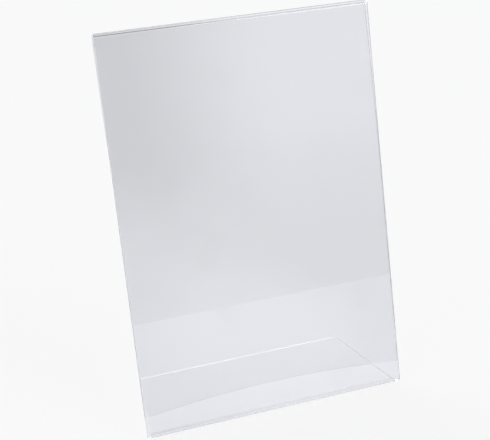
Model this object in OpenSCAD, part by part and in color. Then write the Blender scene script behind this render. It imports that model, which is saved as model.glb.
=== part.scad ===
// Slanted L-shaped display stand of clear plastic sheet, for one upright photo or card.
// The sheet runs as one strip: back flap, top fold, front panel, bottom bend, foot.
// The flap ends short of the bend in a shallow arc, which leaves room to push the insert up.
// Each straight or bent stretch of the strip is a solid of its own, cut at the bend lines.
// Millimetres. +Z up, +Y back, +X to the right of a person who faces the stand.
// The origin is on the table, at the middle of the stand's footprint box.

/* [Insert] */
// Width of the upright sheet that the pocket holds
insert_w = 210; // [100:1:300]
// Spare pocket width on each side of the insert
side_margin = 1.5; // [0.5:0.5:5]
// Gap between the front panel and the back flap, where the insert sits
pocket_gap = 0.4; // [0.3:0.1:1]

/* [Sheet] */
// Thickness of the plastic sheet
sheet_t = 1.5; // [1:0.1:2.5]
// Colour of the clear sheet, seen against a pale background
sheet_color = [0.80, 0.82, 0.87, 0.45];

/* [Panel] */
// Length up the slope, from the front edge line on the table to the top
slant_len = 310; // [200:1:450]
// How far the panel leans back from upright, in degrees
lean = 12; // [5:1:25]

/* [Top fold] */
// Inner radius of the fold over the top
fold_in_r = 2; // [1.5:0.1:4]

/* [Back flap] */
// Angle at which the flap runs in towards the panel below the fold, in degrees
pinch = 2.3; // [1.5:0.1:5]
// Height up the slope of the flap's free lower edge, at its two sides
flap_edge_side = 19; // [12:0.5:60]
// Rise of the free edge from its sides to its middle, as a shallow arc
flap_edge_rise = 6.5; // [1:0.5:20]

/* [Bottom bend] */
// Inner radius of the bend between panel and foot
bend_in_r = 4; // [2:0.5:8]
// Part of the bend that keeps the full panel width, in degrees
shoulder_sweep = 60; // [20:5:75]

/* [Foot] */
// Depth of the whole stand, from the front of the bend to the rear edge of the foot
stand_depth = 90; // [60:1:140]
// Step from the panel's side to the foot's side at the bend
notch_w = 3.3; // [1:0.1:8]
// Distance of the foot's rear corners from the panel's sides
foot_taper = 18; // [8:1:40]
// Radius of the foot's two rear corners
foot_corner_r = 1.5; // [0.5:0.5:6]

/* [Hidden] */
$fn = 96;

panel_w = insert_w + 2 * side_margin;
bend_out_r = bend_in_r + sheet_t;
fold_out_r = fold_in_r + sheet_t;

// Bend centre line, above the foot's front end
bend_y = -stand_depth / 2 + bend_out_r;
bend_sweep = 90 + lean;

// Along the slope, measured from where the front face meets the table
bend_q = bend_out_r / tan((90 - lean) / 2);
fold_q = slant_len - fold_out_r;
foot_line_y = bend_y - bend_q;

// Back flap: the leg that runs in from the fold, then the leg against the panel
flap_front_p = sheet_t + pocket_gap;
leg_len = (fold_out_r + fold_in_r * cos(pinch) - flap_front_p) / sin(pinch);
knee_q = fold_q - fold_in_r * sin(pinch) - leg_len * cos(pinch);
knee_mitre = sheet_t * tan(pinch / 2);
flap_edge_r = (pow(panel_w / 2, 2) + pow(flap_edge_rise, 2)) / (2 * flap_edge_rise);
flap_blank_q = flap_edge_side - 1;

// Foot outline
foot_front_x = panel_w / 2 - notch_w;
foot_rear_x = panel_w / 2 - foot_taper;
foot_rear_y = stand_depth / 2;
side_len = norm([foot_front_x - foot_rear_x, foot_rear_y - bend_y]);
side_in = [-(foot_rear_y - bend_y), -(foot_front_x - foot_rear_x)] / side_len;
corner_x = foot_rear_x + foot_corner_r * (1 + side_in[1]) / side_in[0];
corner_y = foot_rear_y - foot_corner_r;

// Children drawn with Y as the distance behind the front face and Z as the distance up the slope
module on_slope() {
    translate([0, foot_line_y, 0]) rotate([-lean, 0, 0]) children();
}

// Outline in the side view, drawn out to both sides of the middle
module across(width) {
    translate([-width / 2, 0, 0]) rotate([90, 0, 90]) linear_extrude(width) children();
}

// Bent strip of sheet about a line along X, from angle start over sweep, in the side view
module bent_strip(width, inner_r, start, sweep) {
    translate([-width / 2, 0, 0])
        rotate([start, 0, 0])
            rotate([90, 0, 90])
                rotate_extrude(angle = sweep)
                    translate([inner_r, 0]) square([sheet_t, width]);
}

module front_panel() {
    color(sheet_color)
        on_slope()
            translate([-panel_w / 2, 0, bend_q])
                cube([panel_w, sheet_t, fold_q - bend_q]);
}

module top_fold() {
    color(sheet_color)
        on_slope()
            translate([0, fold_out_r, fold_q])
                bent_strip(panel_w, fold_in_r, -pinch, 180 + pinch);
}

// Point on the fold's rear end, at the given radius
function fold_end(r) = [fold_out_r + r * cos(pinch), fold_q - r * sin(pinch)];

// Side view of the flap before its lower edge is cut
module flap_profile() {
    polygon([
        fold_end(fold_in_r),
        fold_end(fold_out_r),
        [flap_front_p + sheet_t, knee_q - knee_mitre],
        [flap_front_p + sheet_t, flap_blank_q],
        [flap_front_p, flap_blank_q],
        [flap_front_p, knee_q]
    ]);
}

// Everything below the arc of the flap's lower edge
module below_flap_edge() {
    translate([0, 0, flap_edge_side + flap_edge_rise - flap_edge_r])
        rotate([-90, 0, 0])
            cylinder(r = flap_edge_r, h = 2 * (flap_front_p + sheet_t), $fn = 720);
}

module back_flap() {
    color(sheet_color)
        on_slope()
            difference() {
                across(panel_w) flap_profile();
                below_flap_edge();
            }
}

// The full width follows the panel into the bend, then steps in to the foot's width
module bottom_bend() {
    color(sheet_color)
        translate([0, bend_y, bend_out_r]) {
            bent_strip(panel_w, bend_in_r, 180 - lean, shoulder_sweep);
            bent_strip(2 * foot_front_x, bend_in_r, 180 - lean + shoulder_sweep, bend_sweep - shoulder_sweep);
        }
}

module foot_outline() {
    tangent = [corner_x, corner_y] - foot_corner_r * side_in;
    polygon([
        [-foot_front_x, bend_y],
        [foot_front_x, bend_y],
        tangent,
        [corner_x, foot_rear_y],
        [-corner_x, foot_rear_y],
        [-tangent[0], tangent[1]]
    ]);
    for (side = [-1, 1])
        translate([side * corner_x, corner_y]) circle(r = foot_corner_r);
}

module foot() {
    color(sheet_color) linear_extrude(sheet_t) foot_outline();
}

front_panel();
top_fold();
back_flap();
bottom_bend();
foot();
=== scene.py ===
"""Slanted L-shaped display stand of clear plastic sheet, one sheet bent from end to end.

Metres, in the frame of the CAD model: +Z up, +Y back, the origin on the table in the middle.
Each stretch of the sheet is drawn flat, with its cut arrises eased, and then laid along the
stand's side profile, so that its two broad faces stay one thickness apart all the way.
"""
import math
from dataclasses import dataclass

import bmesh
import bpy
from mathutils import Matrix, Vector


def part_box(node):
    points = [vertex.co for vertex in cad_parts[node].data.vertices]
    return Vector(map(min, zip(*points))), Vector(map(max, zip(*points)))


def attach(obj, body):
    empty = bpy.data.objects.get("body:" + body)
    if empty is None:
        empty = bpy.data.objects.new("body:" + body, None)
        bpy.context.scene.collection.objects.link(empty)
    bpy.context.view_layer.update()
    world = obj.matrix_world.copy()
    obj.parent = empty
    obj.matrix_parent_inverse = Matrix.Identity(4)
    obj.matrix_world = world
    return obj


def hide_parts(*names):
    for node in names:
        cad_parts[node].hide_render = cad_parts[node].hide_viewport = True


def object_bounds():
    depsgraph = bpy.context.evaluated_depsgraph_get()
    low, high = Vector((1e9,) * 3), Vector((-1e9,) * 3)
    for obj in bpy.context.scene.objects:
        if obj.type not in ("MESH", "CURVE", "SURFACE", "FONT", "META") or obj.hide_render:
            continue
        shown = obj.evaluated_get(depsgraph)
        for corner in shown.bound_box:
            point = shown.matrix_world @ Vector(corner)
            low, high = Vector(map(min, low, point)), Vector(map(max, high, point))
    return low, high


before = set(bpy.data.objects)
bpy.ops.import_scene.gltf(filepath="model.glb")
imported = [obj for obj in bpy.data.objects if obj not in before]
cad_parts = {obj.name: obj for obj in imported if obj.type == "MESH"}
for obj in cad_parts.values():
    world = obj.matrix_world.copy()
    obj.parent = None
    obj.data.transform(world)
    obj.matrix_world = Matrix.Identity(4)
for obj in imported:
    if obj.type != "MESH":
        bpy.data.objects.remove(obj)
cad_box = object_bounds()

MM = 0.001

# Bends of the sheet, as the CAD model makes them
LEAN = math.radians(12)
PINCH = math.radians(2.3)
FOLD_R = 3.5 * MM
SHOULDER = math.radians(60)
POCKET_GAP = 0.4 * MM
FLAP_EDGE_SIDE = 19 * MM
FLAP_EDGE_RISE = 6.5 * MM
KNEE_R = 400 * MM
FOOT_TAPER = 18 * MM
FOOT_CORNER_R = 1.5 * MM

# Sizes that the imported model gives
foot_lo, foot_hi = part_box("foot")
bend_lo, bend_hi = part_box("bottom_bend")
SHEET = foot_hi.z
BEND_Y = foot_lo.y
BEND_R = BEND_Y - bend_lo.y
REAR_Y = foot_hi.y
HALF_PANEL = bend_hi.x
HALF_FOOT = foot_hi.x
TOP_Z = cad_box[1].z

# Fineness of the mesh
BEND_STEP = math.radians(2)
CORNER_STEP = math.radians(10)
CELL = 9 * MM
ARRIS = 0.15 * MM
SAME_PLACE = 0.0001 * MM

# Material slots of every piece: broad faces, side edges, joints and the strip's own ends
FACE, EDGE, JOINT, END = range(4)


# ---------------------------------------------------------------- side profile

@dataclass
class Stretch:
    """A run of the profile along the sheet's outer face, straight or on an arc."""
    length: float
    turn: float = 0.0
    start: float = 0.0
    heading: float = 0.0
    y: float = 0.0
    z: float = 0.0

    def at(self, along):
        """Heading and outer point at a distance from the profile's start."""
        d = along - self.start
        if not self.turn:
            y = self.y + d * math.cos(self.heading)
            return self.heading, y, self.z + d * math.sin(self.heading)
        radius = self.length / self.turn
        heading = self.heading + d / radius
        return (
            heading,
            self.y + radius * (math.sin(heading) - math.sin(self.heading)),
            self.z - radius * (math.cos(heading) - math.cos(self.heading)),
        )

    @property
    def end(self):
        return self.start + self.length


def profile():
    """The sheet's side profile from the foot's rear edge, forward, up the panel, over and down."""
    bend_turn = math.pi / 2 + LEAN
    fold_turn = math.pi + PINCH
    bend_rise = BEND_R * (1 - math.cos(bend_turn))
    panel = (TOP_Z - bend_rise - FOLD_R * (1 - math.sin(LEAN))) / math.cos(LEAN)
    drop = FOLD_R * (1 + math.cos(PINCH)) - (SHEET + POCKET_GAP + SHEET)
    leg = (drop - KNEE_R * (1 - math.cos(PINCH))) / math.sin(PINCH)
    runs = {
        "foot": Stretch(REAR_Y - BEND_Y),
        "bend": Stretch(BEND_R * bend_turn, -bend_turn),
        "panel": Stretch(panel),
        "fold": Stretch(FOLD_R * fold_turn, -fold_turn),
        "leg": Stretch(leg),
        "knee": Stretch(KNEE_R * PINCH, PINCH),
    }
    above_edge = panel + BEND_R / math.tan((math.pi / 2 - LEAN) / 2) - FLAP_EDGE_SIDE
    above_edge -= FOLD_R * math.sin(PINCH) + leg * math.cos(PINCH) + KNEE_R * math.sin(PINCH)
    runs["flap"] = Stretch(above_edge)
    along, heading, y, z = 0.0, math.pi, REAR_Y, 0.0
    for run in runs.values():
        run.start, run.heading, run.y, run.z = along, heading, y, z
        along = run.end
        heading, y, z = run.at(along)
    return runs


RUNS = profile()


def lay(x, along, depth):
    """Where a point of the flat sheet ends up, and the way in through the sheet at that place.

    The point is given across, along the profile, and in from the sheet's outer face.
    """
    run = next((r for r in RUNS.values() if along <= r.end), RUNS["flap"])
    heading, y, z = run.at(along)
    way_in = Vector((0, math.sin(heading), -math.cos(heading)))
    return Vector((x, y, z)) + depth * way_in, way_in


# ---------------------------------------------------------------- flat pieces

def steps(start, end, size):
    """Evenly spaced values from start to end, no further apart than size."""
    count = max(1, math.ceil(abs(end - start) / size - 1e-6))
    return [start + (end - start) * i / count for i in range(count + 1)]


def foot_outline():
    """Rows (along, half-width) down the foot to the bend, and the arc points of a rear corner."""
    slope = math.atan((HALF_FOOT - (HALF_PANEL - FOOT_TAPER)) / (REAR_Y - BEND_Y))
    centre = HALF_PANEL - FOOT_TAPER - FOOT_CORNER_R * (1 - math.sin(slope)) / math.cos(slope)
    arc = [
        (FOOT_CORNER_R * (1 - math.sin(a)), centre + FOOT_CORNER_R * math.cos(a))
        for a in steps(math.pi / 2, slope, CORNER_STEP)
    ]
    end = RUNS["foot"].end
    side = [(a, HALF_FOOT - (end - a) * math.tan(slope)) for a in steps(arc[-1][0], end, CELL)]
    return [arc[0]] + side, arc[1:-1]


def bend_rows():
    run = RUNS["bend"]
    shoulder = run.end - BEND_R * SHOULDER
    size = BEND_R * BEND_STEP
    narrow = [(a, HALF_FOOT) for a in steps(run.start, shoulder, size)]
    wide = [(a, HALF_PANEL) for a in steps(shoulder, run.end, size)]
    return narrow + wide


def straight_rows(*names):
    """Full-width rows along the named runs, close together where the profile is curved."""
    rows = []
    for name in names:
        run = RUNS[name]
        size = abs(run.length / run.turn) * BEND_STEP if run.turn else CELL
        rows += [(a, HALF_PANEL) for a in steps(run.start, run.end, min(size, CELL))]
    return sorted(set(rows))


def flat_sheet(rows, corner_arc=(), edge_rise=0.0):
    """The piece's broad face as a flat mesh of x, along and 0.

    Columns 0 to last - 1 lie within the foot's width, and one more at each side takes the rest of
    the panel's width. Two rows at one place make a shoulder.
    """
    bm = bmesh.new()
    across = steps(-1, 1, CELL / HALF_FOOT)
    last = len(across)
    grid = []
    for along, half in rows:
        if grid and along == grid[-1]["along"]:
            line = {n: v for n, v in grid[-1].items() if n != "along"}
        else:
            inner = min(half, HALF_FOOT)
            line = {n: bm.verts.new((u * inner, along, 0)) for n, u in enumerate(across)}
        if half > HALF_FOOT:
            line[-1] = bm.verts.new((-half, along, 0))
            line[last] = bm.verts.new((half, along, 0))
        grid.append({**line, "along": along})
    arcs = {
        side: [bm.verts.new((side * x, along, 0)) for along, x in corner_arc]
        for side in (-1, 1)
    }
    for upper, lower in zip(grid, grid[1:]):
        if upper["along"] == lower["along"]:
            continue
        for n in range(-1, last):
            corners = [upper.get(n), upper.get(n + 1), lower.get(n + 1), lower.get(n)]
            if None in corners:
                continue
            if upper is grid[0] and n + 1 == last - 1:
                corners[2:2] = arcs[1]
            elif upper is grid[0] and n == 0:
                corners += reversed(arcs[-1])
            bm.faces.new(corners)
    if edge_rise:
        arch_free_edge(bm, edge_rise)
    return bm


def arch_free_edge(bm, rise):
    """Draws the flap's free edge up into a shallow arc, and the rows above it less and less."""
    arc_r = (HALF_PANEL ** 2 + rise ** 2) / (2 * rise)
    run = RUNS["flap"]
    for v in bm.verts:
        share = max(0.0, (v.co.y - run.start) / run.length)
        v.co.y -= share * (math.sqrt(arc_r ** 2 - v.co.x ** 2) - (arc_r - rise))


# How much a face of the flat piece looks up or down, or along the strip, to count as one kind
BROAD = 0.5
FACES_END = 0.9
ARRIS_FACES_END = 0.3


def thicken(bm, open_ends):
    """Gives the flat sheet its thickness, its cut faces, and joint faces at the open ends."""
    top = list(bm.faces)
    made = bmesh.ops.extrude_face_region(bm, geom=top)
    for v in (g for g in made["geom"] if isinstance(g, bmesh.types.BMVert)):
        v.co.z = SHEET
    bmesh.ops.recalc_face_normals(bm, faces=bm.faces)
    bm.normal_update()
    for f in bm.faces:
        if abs(f.normal.z) > BROAD:
            f.material_index = FACE
        elif any(all(abs(v.co.y - end) < SAME_PLACE for v in f.verts) for end in open_ends):
            f.material_index = JOINT
        else:
            f.material_index = END if abs(f.normal.y) > FACES_END else EDGE
    arrises = [
        e for e in bm.edges
        if {f.material_index for f in e.link_faces} in ({FACE, EDGE}, {FACE, END})
    ]
    bmesh.ops.bevel(
        bm, geom=arrises, offset=ARRIS, segments=2, profile=0.5, affect="EDGES",
        clamp_overlap=True, material=EDGE,
    )
    bm.normal_update()
    for f in bm.faces:
        if f.material_index == EDGE and abs(f.normal.y) > ARRIS_FACES_END:
            f.material_index = END
    return bm


def set_true_normals(mesh, ways_in):
    """Shades the broad faces square to the sheet, right up to their edges, and the others flat."""
    normals = []
    for face in mesh.polygons:
        for vert in face.vertices:
            if face.material_index != FACE:
                normals.append(face.normal.copy())
            elif face.normal.dot(ways_in[vert]) > 0:
                normals.append(ways_in[vert])
            else:
                normals.append(-ways_in[vert])
    mesh.normals_split_custom_set(normals)


def sheet_piece(name, node, flat, open_ends, materials):
    """A flat sheet given its thickness and its bent shape, standing for its CAD node."""
    bm = thicken(flat, open_ends)
    ways_in = []
    for v in bm.verts:
        v.co, way_in = lay(v.co.x, v.co.y, v.co.z)
        ways_in.append(way_in)
    if bm.calc_volume(signed=True) < 0:
        bmesh.ops.reverse_faces(bm, faces=bm.faces)
    for f in bm.faces:
        f.smooth = f.material_index != JOINT
    mesh = bpy.data.meshes.new(name)
    bm.to_mesh(mesh)
    bm.free()
    set_true_normals(mesh, ways_in)
    for material in materials:
        mesh.materials.append(material)
    piece = bpy.data.objects.new(name, mesh)
    bpy.context.scene.collection.objects.link(piece)
    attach(piece, "root")
    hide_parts(node)
    return piece


# ---------------------------------------------------------------- materials

IOR = 1.59
TINT = (0.93, 0.93, 0.93)
GLOSS = 0.008  # roughness of the clean sheet, to which smudges and scratches add

# Noises are given as scale, detail and roughness, and limits as where a mark starts and is full
SMUDGE_NOISE = (22, 4, 0.55)
SMUDGE_LIMITS = (0.5, 0.72)
SMUDGE_HAZE = 0.03
SMUDGE_SHADE = 0.99
SCRATCH_NOISE = (1, 2, 0.6)
SCRATCH_LIMITS = (0.68, 0.74)
SCRATCH_FINENESS = (60, 900, 900)
SCRATCH_TURN = math.radians(17)
SCRATCH_HAZE = 0.03
SCRATCH_DEPTH = 0.1  # as a share of the ripple
DUST_SCALE = 160
DUST_SIZE = (0.03, 0.07)
DUST_PLACES_NOISE = (55, 1)
DUST_PLACES_LIMITS = (0.66, 0.7)
DUST_SHADE = 0.6
RIPPLE_NOISE = (9, 1)
RIPPLE = 0.02 * MM
RIPPLE_STRENGTH = 0.25

# A sawn edge scatters some light back and lets the rest through
SAWN_BACK = (0.20, 0.20, 0.20)
SAWN_THROUGH = (0.80, 0.80, 0.80)
# How much of an edge is sawn, on the left and on the right, and between which places it changes.
# On the side edges the split between left and right is painted light and shade.
# Painted light and shade: the side edges are sawn on the stand's left so they scatter light and
# look lighter, and polished on its right so they show a thin dark line.
SIDE_SAWN_FOR_PAINTED_LIGHT_AND_SHADE = (0.90, 0.12)
END_SAWN = (0.92, 0.92)
SAWN_BLEND = (-50 * MM, 50 * MM)
FLAP_EDGE_SEEN = 0.04
# Edges are uneven in patches: in what is sawn, and in how rough both finishes are
PATCH_NOISE = (120, 3, 0.6)
PATCH_LIMITS = (0.3, 0.7)
PATCH_SAWN = (-0.08, 0.08)
PATCH_POLISHED_ROUGHNESS = (0.06, 0.16)
PATCH_SAWN_ROUGHNESS = (0.35, 0.55)
CUTTER_NOISE = (2600, 1)
CUTTER_MARK = 0.01 * MM
CUTTER_STRENGTH = 0.3


class Nodes:
    """Short names for building a node tree."""

    def __init__(self, tree):
        self.tree = tree
        tree.nodes.clear()

    def add(self, kind, **settings):
        node = self.tree.nodes.new(kind)
        for key, value in settings.items():
            setattr(node, key, value)
        return node

    def link(self, a, b):
        self.tree.links.new(a, b)

    def math(self, operation, a, b=None):
        node = self.add("ShaderNodeMath", operation=operation)
        for socket, value in zip(node.inputs, (a, b)):
            if value is None:
                continue
            if isinstance(value, (int, float)):
                socket.default_value = value
            else:
                self.link(value, socket)
        return node.outputs[0]

    def ramp(self, value, lo, hi, to_lo=0.0, to_hi=1.0):
        """An S-shaped rise or fall from to_lo at lo to to_hi at hi, level on both sides."""
        node = self.add("ShaderNodeMapRange", interpolation_type="SMOOTHSTEP")
        self.link(value, node.inputs["Value"])
        node.inputs["From Min"].default_value = lo
        node.inputs["From Max"].default_value = hi
        node.inputs["To Min"].default_value = to_lo
        node.inputs["To Max"].default_value = to_hi
        return node.outputs["Result"]

    def product(self, a, b):
        return self.math("MULTIPLY", a, b)

    def noise(self, vector, scale, detail=2.0, rough=0.5):
        node = self.add("ShaderNodeTexNoise")
        node.inputs["Scale"].default_value = scale
        node.inputs["Detail"].default_value = detail
        node.inputs["Roughness"].default_value = rough
        self.link(vector, node.inputs["Vector"])
        return node.outputs["Fac"]

    def mix(self, factor, a, b):
        node = self.add("ShaderNodeMix", data_type="RGBA")
        self.link(factor, node.inputs["Factor"])
        for key, value in (("A", a), ("B", b)):
            socket = next(s for s in node.inputs if s.name == key and s.type == "RGBA")
            if hasattr(value, "links"):
                self.link(value, socket)
            else:
                socket.default_value = (*value, 1)
        return next(s for s in node.outputs if s.type == "RGBA")


def clear_plastic(name):
    """Clear sheet: a faint grey tint, wiped smudges, hairline scratches and specks of dust."""
    material = bpy.data.materials.new(name)
    material.use_nodes = True
    n = Nodes(material.node_tree)
    out = n.add("ShaderNodeOutputMaterial")
    plastic = n.add("ShaderNodeBsdfPrincipled")
    n.link(plastic.outputs[0], out.inputs["Surface"])
    plastic.inputs["Transmission Weight"].default_value = 1.0
    plastic.inputs["IOR"].default_value = IOR
    place = n.add("ShaderNodeTexCoord").outputs["Object"]

    smudge = n.ramp(n.noise(place, *SMUDGE_NOISE), *SMUDGE_LIMITS)
    stretch = n.add("ShaderNodeMapping")
    stretch.inputs["Scale"].default_value = SCRATCH_FINENESS
    stretch.inputs["Rotation"].default_value = (0, SCRATCH_TURN, 0)
    n.link(place, stretch.inputs["Vector"])
    hairline = n.ramp(n.noise(stretch.outputs["Vector"], *SCRATCH_NOISE), *SCRATCH_LIMITS)
    marks = n.math("ADD", n.product(smudge, SMUDGE_HAZE), n.product(hairline, SCRATCH_HAZE))
    n.link(n.math("ADD", marks, GLOSS), plastic.inputs["Roughness"])

    speck = n.add("ShaderNodeTexVoronoi", feature="F1")
    speck.inputs["Scale"].default_value = DUST_SCALE
    n.link(place, speck.inputs["Vector"])
    dust = n.ramp(speck.outputs["Distance"], *DUST_SIZE, 1, 0)
    dust_places = n.ramp(n.noise(place, *DUST_PLACES_NOISE), *DUST_PLACES_LIMITS)
    specks = n.product(dust, dust_places)
    shade = n.mix(smudge, TINT, tuple(c * SMUDGE_SHADE for c in TINT))
    dusty = n.mix(specks, shade, tuple(c * DUST_SHADE for c in TINT))
    n.link(dusty, plastic.inputs["Base Color"])

    bump = n.add("ShaderNodeBump")
    bump.inputs["Strength"].default_value = RIPPLE_STRENGTH
    bump.inputs["Distance"].default_value = RIPPLE
    ripple = n.noise(place, *RIPPLE_NOISE)
    n.link(n.math("ADD", ripple, n.product(hairline, SCRATCH_DEPTH)), bump.inputs["Height"])
    n.link(bump.outputs["Normal"], plastic.inputs["Normal"])
    return material


def cut_edge(name, sawn_and_painted_light_share, seen=1.0):
    """A cut edge, partly polished and partly sawn, over a clear one that shows nothing.

    The sawn share is given for the left and for the right of the stand, and seen is how much of
    the edge shows at all. Where the two shares differ, the split is painted light and shade: the
    sawn side scatters light and looks lighter, and the polished side shows a dark line.
    """
    material = bpy.data.materials.new(name)
    material.use_nodes = True
    n = Nodes(material.node_tree)
    out = n.add("ShaderNodeOutputMaterial")
    place = n.add("ShaderNodeTexCoord").outputs["Object"]
    patch = n.noise(place, *PATCH_NOISE)
    bump = n.add("ShaderNodeBump")
    bump.inputs["Strength"].default_value = CUTTER_STRENGTH
    bump.inputs["Distance"].default_value = CUTTER_MARK
    n.link(n.noise(place, *CUTTER_NOISE), bump.inputs["Height"])
    polished = n.add("ShaderNodeBsdfPrincipled")
    polished.inputs["IOR"].default_value = IOR
    polished.inputs["Transmission Weight"].default_value = 1
    roughness = n.ramp(patch, *PATCH_LIMITS, *PATCH_POLISHED_ROUGHNESS)
    n.link(roughness, polished.inputs["Roughness"])
    n.link(bump.outputs["Normal"], polished.inputs["Normal"])
    sawn = n.add("ShaderNodeBsdfPrincipled")
    sawn.inputs["IOR"].default_value = IOR
    sawn.inputs["Base Color"].default_value = (*SAWN_BACK, 1)
    roughness = n.ramp(patch, *PATCH_LIMITS, *PATCH_SAWN_ROUGHNESS)
    n.link(roughness, sawn.inputs["Roughness"])
    n.link(bump.outputs["Normal"], sawn.inputs["Normal"])
    through = n.add("ShaderNodeBsdfTranslucent")
    through.inputs["Color"].default_value = (*SAWN_THROUGH, 1)
    both = n.add("ShaderNodeAddShader")
    n.link(sawn.outputs[0], both.inputs[0])
    n.link(through.outputs[0], both.inputs[1])
    finish = n.add("ShaderNodeMixShader")
    left_right = n.add("ShaderNodeSeparateXYZ")
    n.link(place, left_right.inputs[0])
    # Sawn share from left to right; on the side edges this split is painted light and shade.
    share = n.ramp(left_right.outputs["X"], *SAWN_BLEND, *sawn_and_painted_light_share)
    uneven = n.ramp(patch, *PATCH_LIMITS, *PATCH_SAWN)
    n.link(n.math("ADD", share, uneven), finish.inputs["Fac"])
    n.link(polished.outputs[0], finish.inputs[1])
    n.link(both.outputs[0], finish.inputs[2])
    clear = n.add("ShaderNodeBsdfTransparent")
    clear.inputs["Color"].default_value = (1, 1, 1, 1)
    faint = n.add("ShaderNodeMixShader")
    faint.inputs["Fac"].default_value = seen
    n.link(clear.outputs[0], faint.inputs[1])
    n.link(finish.outputs[0], faint.inputs[2])
    n.link(faint.outputs[0], out.inputs["Surface"])
    return material


def joint_face(name):
    """Where one stretch of the sheet runs on into the next: nothing is seen there."""
    material = bpy.data.materials.new(name)
    material.use_nodes = True
    plastic = material.node_tree.nodes["Principled BSDF"]
    plastic.inputs["Alpha"].default_value = 0.0
    return material


def light_table(name):
    """Opal light table: lit from below, with a slight pool of light, and a little matt.

    The camera sees it a shade brighter directly than through the stand.
    """
    material = bpy.data.materials.new(name)
    material.use_nodes = True
    n = Nodes(material.node_tree)
    out = n.add("ShaderNodeOutputMaterial")
    paint = n.add("ShaderNodeBsdfPrincipled")
    n.link(paint.outputs[0], out.inputs["Surface"])
    paint.inputs["Roughness"].default_value = 1.0
    paint.inputs["Specular IOR Level"].default_value = 0.0
    place = n.add("ShaderNodeTexCoord").outputs["Object"]
    mottle = n.noise(place, *TABLE_NOISE)
    darker, lighter = TABLE_MATT - TABLE_MOTTLE, TABLE_MATT + TABLE_MOTTLE
    n.link(n.mix(mottle, (darker,) * 3, (lighter,) * 3), paint.inputs["Base Color"])
    squeezed = n.add("ShaderNodeVectorMath", operation="MULTIPLY")
    n.link(place, squeezed.inputs[0])
    squeezed.inputs[1].default_value = GLOW_SHAPE
    far = n.add("ShaderNodeVectorMath", operation="DISTANCE")
    n.link(squeezed.outputs[0], far.inputs[0])
    far.inputs[1].default_value = GLOW_HEART
    glow = n.mix(n.ramp(far.outputs["Value"], *GLOW_FADE), TABLE_GLOW, TABLE_GLOW_FAR)
    direct = n.add("ShaderNodeLightPath").outputs["Is Camera Ray"]
    n.link(n.mix(direct, glow, (TABLE_GLOW_SEEN,) * 3), paint.inputs["Emission Color"])
    paint.inputs["Emission Strength"].default_value = 1.0
    return material


# ---------------------------------------------------------------- studio

CAMERA_PLACE = (-0.2743, -0.7895, 0.5144)
CAMERA_HEADING = math.radians(18.81)
CAMERA_PITCH = math.radians(23.71)
CAMERA_ROLL = math.radians(-2.51)
CAMERA_LENS = 86.77
CAMERA_SENSOR = 36

TABLE_FRONT_Y = -1.06
TABLE_REACH = 7.0
TABLE_T = 0.03
TABLE_TOP_Z = -0.0003  # a hair below the foot, whose sawn sheet is never quite flat
TABLE_MATT = 0.1
TABLE_MOTTLE = 0.002
TABLE_NOISE = (30, 4, 0.6)
# The table glows a little more in a pool just behind the stand. The heart's place and the fade
# are in the squeezed space that makes the pool longer from front to back than across.
TABLE_GLOW = (0.825, 0.833, 0.876)
TABLE_GLOW_FAR = (0.765, 0.773, 0.813)
GLOW_SHAPE = (1.5, 1.0, 1.0)
GLOW_HEART = (0.04, 0.08, 0.0)
GLOW_FADE = (0.06, 0.20)
TABLE_GLOW_SEEN = 0.859  # what the camera sees directly


def make_camera():
    """The photograph's viewing angle: from the front left, looking down, very slightly rolled."""
    data = bpy.data.cameras.new("camera")
    data.sensor_fit = "HORIZONTAL"
    data.sensor_width = CAMERA_SENSOR
    data.lens = CAMERA_LENS
    camera = bpy.data.objects.new("camera", data)
    bpy.context.scene.collection.objects.link(camera)
    turn = (
        Matrix.Rotation(-CAMERA_HEADING, 4, "Z")
        @ Matrix.Rotation(math.pi / 2 - CAMERA_PITCH, 4, "X")
        @ Matrix.Rotation(CAMERA_ROLL, 4, "Z")
    )
    camera.matrix_world = Matrix.Translation(CAMERA_PLACE) @ turn
    bpy.context.scene.camera = camera


def make_table():
    """A plain table top whose front edge lies a metre before the stand."""
    bm = bmesh.new()
    bmesh.ops.create_cube(bm, size=1)
    for v in bm.verts:
        v.co.x *= 2 * TABLE_REACH
        v.co.y = TABLE_FRONT_Y if v.co.y < 0 else TABLE_REACH
        v.co.z = TABLE_TOP_Z if v.co.z > 0 else -TABLE_T
    mesh = bpy.data.meshes.new("table")
    bm.to_mesh(mesh)
    bm.free()
    mesh.materials.append(light_table("opal_table"))
    table = bpy.data.objects.new("table", mesh)
    bpy.context.scene.collection.objects.link(table)


# Strengths of the studio's lights
ROOM = 0.04
SIDE_LEFT = 2.2
REAR_LEFT = 7.0
REAR_MID = 0.39
REAR_RIGHT = 0.85
BACK_WALL = (1.3, 1.4)  # its left and its right
SOFTBOX = 1.0
SOFTBOX_FOOT = 0.75     # its lower end, as a share of the rest
SOFTBOX_UPPER = 0.4     # its upper part, as a share of the lower one
SOFTBOX_HEART = 3.0
BELOW_TABLE = 0.60
BACKDROP = 0.939        # what the camera sees directly behind the table
COOL = (0.992, 1.0, 1.05)

# Where the lights are, in degrees: azimuths from straight behind or, for the softbox, from
# straight ahead of the stand, positive to its right. A patch is its two limits and how far it
# fades in and out.
BACK_WALL_ACROSS = (-75, 55, 20, 20)
BACK_WALL_UP = (26, 35, 4, 4)
BACK_WALL_CHANGE = (15, 25)
REAR_LEFT_ACROSS = (-50, -5, 12, 10)
REAR_LEFT_TOP = (25, 45)
REAR_MID_ACROSS = (-5, 14.5, 10, 4.5)
REAR_RIGHT_ACROSS = (14.5, 60, 4.5, 20)
REAR_TOP = (60, 80)
SOFTBOX_ACROSS = (11.5, 60, 9, 20)
SOFTBOX_TOP = (45, 60)
SOFTBOX_FOOT_RISE = (-3, 9)
SOFTBOX_UPPER_FALL = (10, 18)
HEART_ACROSS = (19, 55, 6, 15)
HEART_UP = (12, 45, 10, 12)
HORIZON = (-2.6, 3.6)
SIDE_LEFT_EDGE = (-0.75, -0.5)  # not an angle: the direction's share to the right


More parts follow.
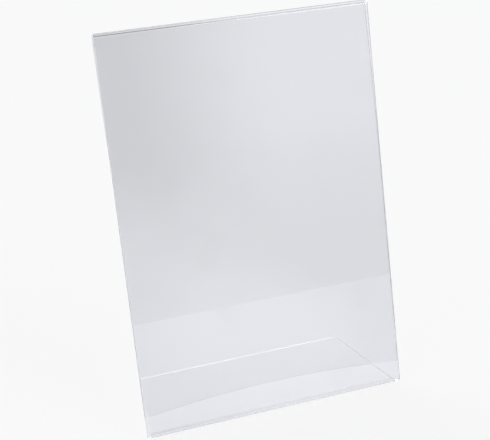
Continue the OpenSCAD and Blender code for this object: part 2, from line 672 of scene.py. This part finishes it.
def light_studio():
    """A dim room, with a narrow bright band and a bright patch at the left behind the stand.

    There is also a light at the left, and a softbox with a brighter heart at the front right.
    The camera sees an even backdrop instead, except through the stand.
    """
    world = bpy.data.worlds.new("studio")
    world.use_nodes = True
    bpy.context.scene.world = world
    n = Nodes(world.node_tree)
    out = n.add("ShaderNodeOutputWorld")
    light = n.add("ShaderNodeBackground")
    light.inputs["Color"].default_value = (*COOL, 1)
    seen = n.add("ShaderNodeBackground")
    seen.inputs["Color"].default_value = (BACKDROP,) * 3 + (1,)
    split = n.add("ShaderNodeSeparateXYZ")
    n.link(n.add("ShaderNodeTexCoord").outputs["Generated"], split.inputs[0])
    x, y, z = split.outputs
    degrees = 180 / math.pi
    front = n.product(n.math("ARCTAN2", x, n.product(y, -1)), degrees)
    back = n.product(n.math("ARCTAN2", x, y), degrees)
    height = n.product(n.math("ARCSINE", z), degrees)

    def between(angle, lo, hi, soft_lo, soft_hi):
        return n.product(n.ramp(angle, lo, lo + soft_lo), n.ramp(angle, hi, hi + soft_hi, 1, 0))

    wall = n.product(between(back, *BACK_WALL_ACROSS), between(height, *BACK_WALL_UP))
    wall = n.product(wall, n.ramp(back, *BACK_WALL_CHANGE, *BACK_WALL))
    rear_left = n.product(between(back, *REAR_LEFT_ACROSS), REAR_LEFT)
    rear_left = n.product(rear_left, n.ramp(height, *REAR_LEFT_TOP, 1, 0))
    rear_mid = n.product(between(back, *REAR_MID_ACROSS), REAR_MID)
    rear_right = n.product(between(back, *REAR_RIGHT_ACROSS), REAR_RIGHT)
    rear_dim = n.product(n.math("ADD", rear_mid, rear_right), n.ramp(height, *REAR_TOP, 1, 0))
    rear = n.math("MAXIMUM", rear_left, rear_dim)
    box = n.product(between(front, *SOFTBOX_ACROSS), n.ramp(height, *SOFTBOX_TOP, SOFTBOX, 0))
    box = n.product(box, n.ramp(height, *SOFTBOX_FOOT_RISE, SOFTBOX_FOOT, 1))
    box = n.product(box, n.ramp(height, *SOFTBOX_UPPER_FALL, 1, SOFTBOX_UPPER))
    heart = n.product(between(front, *HEART_ACROSS), between(height, *HEART_UP))
    heart_gain = SOFTBOX_HEART / (SOFTBOX_UPPER * SOFTBOX) - 1
    box = n.product(box, n.math("ADD", 1, n.product(heart, heart_gain)))
    side = n.ramp(x, *SIDE_LEFT_EDGE, SIDE_LEFT, 0)
    sky = n.math("MAXIMUM", n.math("MAXIMUM", wall, rear), n.math("MAXIMUM", box, side))
    sky = n.math("MAXIMUM", sky, ROOM)
    high = n.ramp(height, *HORIZON)
    low = n.product(n.math("SUBTRACT", 1, high), BELOW_TABLE)
    n.link(n.math("ADD", n.product(sky, high), low), light.inputs["Strength"])
    choose = n.add("ShaderNodeMixShader")
    n.link(n.add("ShaderNodeLightPath").outputs["Is Camera Ray"], choose.inputs["Fac"])
    n.link(light.outputs[0], choose.inputs[1])
    n.link(seen.outputs[0], choose.inputs[2])
    n.link(choose.outputs[0], out.inputs["Surface"])


# ---------------------------------------------------------------- the stand

def build_stand():
    # The side edges' split of sawn and polished between left and right is painted light and shade.
    side = cut_edge("side_edge", SIDE_SAWN_FOR_PAINTED_LIGHT_AND_SHADE)
    end = cut_edge("foot_end_edge", END_SAWN)
    faint_end = cut_edge("flap_end_edge", END_SAWN, FLAP_EDGE_SEEN)
    joint = joint_face("joint_face")
    clear = clear_plastic("clear_sheet")
    foot_end, bend_end = RUNS["foot"].end, RUNS["bend"].end
    panel_end, fold_end = RUNS["panel"].end, RUNS["fold"].end
    foot_shape, foot_corner = foot_outline()
    sheet_piece("foot_sheet", "foot", flat_sheet(foot_shape, foot_corner),
                (foot_end,), (clear, side, joint, end))
    sheet_piece("bottom_bend_sheet", "bottom_bend", flat_sheet(bend_rows()),
                (foot_end, bend_end), (clear, side, joint, side))
    sheet_piece("front_panel_sheet", "front_panel", flat_sheet(straight_rows("panel")),
                (bend_end, panel_end), (clear, side, joint, side))
    sheet_piece("top_fold_sheet", "top_fold", flat_sheet(straight_rows("fold")),
                (panel_end, fold_end), (clear, side, joint, side))
    flap = flat_sheet(straight_rows("leg", "knee", "flap"), edge_rise=FLAP_EDGE_RISE)
    sheet_piece("back_flap_sheet", "back_flap", flap, (fold_end,), (clear, side, joint, faint_end))


bpy.context.scene.view_settings.view_transform = "Standard"
make_camera()
make_table()
light_studio()
build_stand()
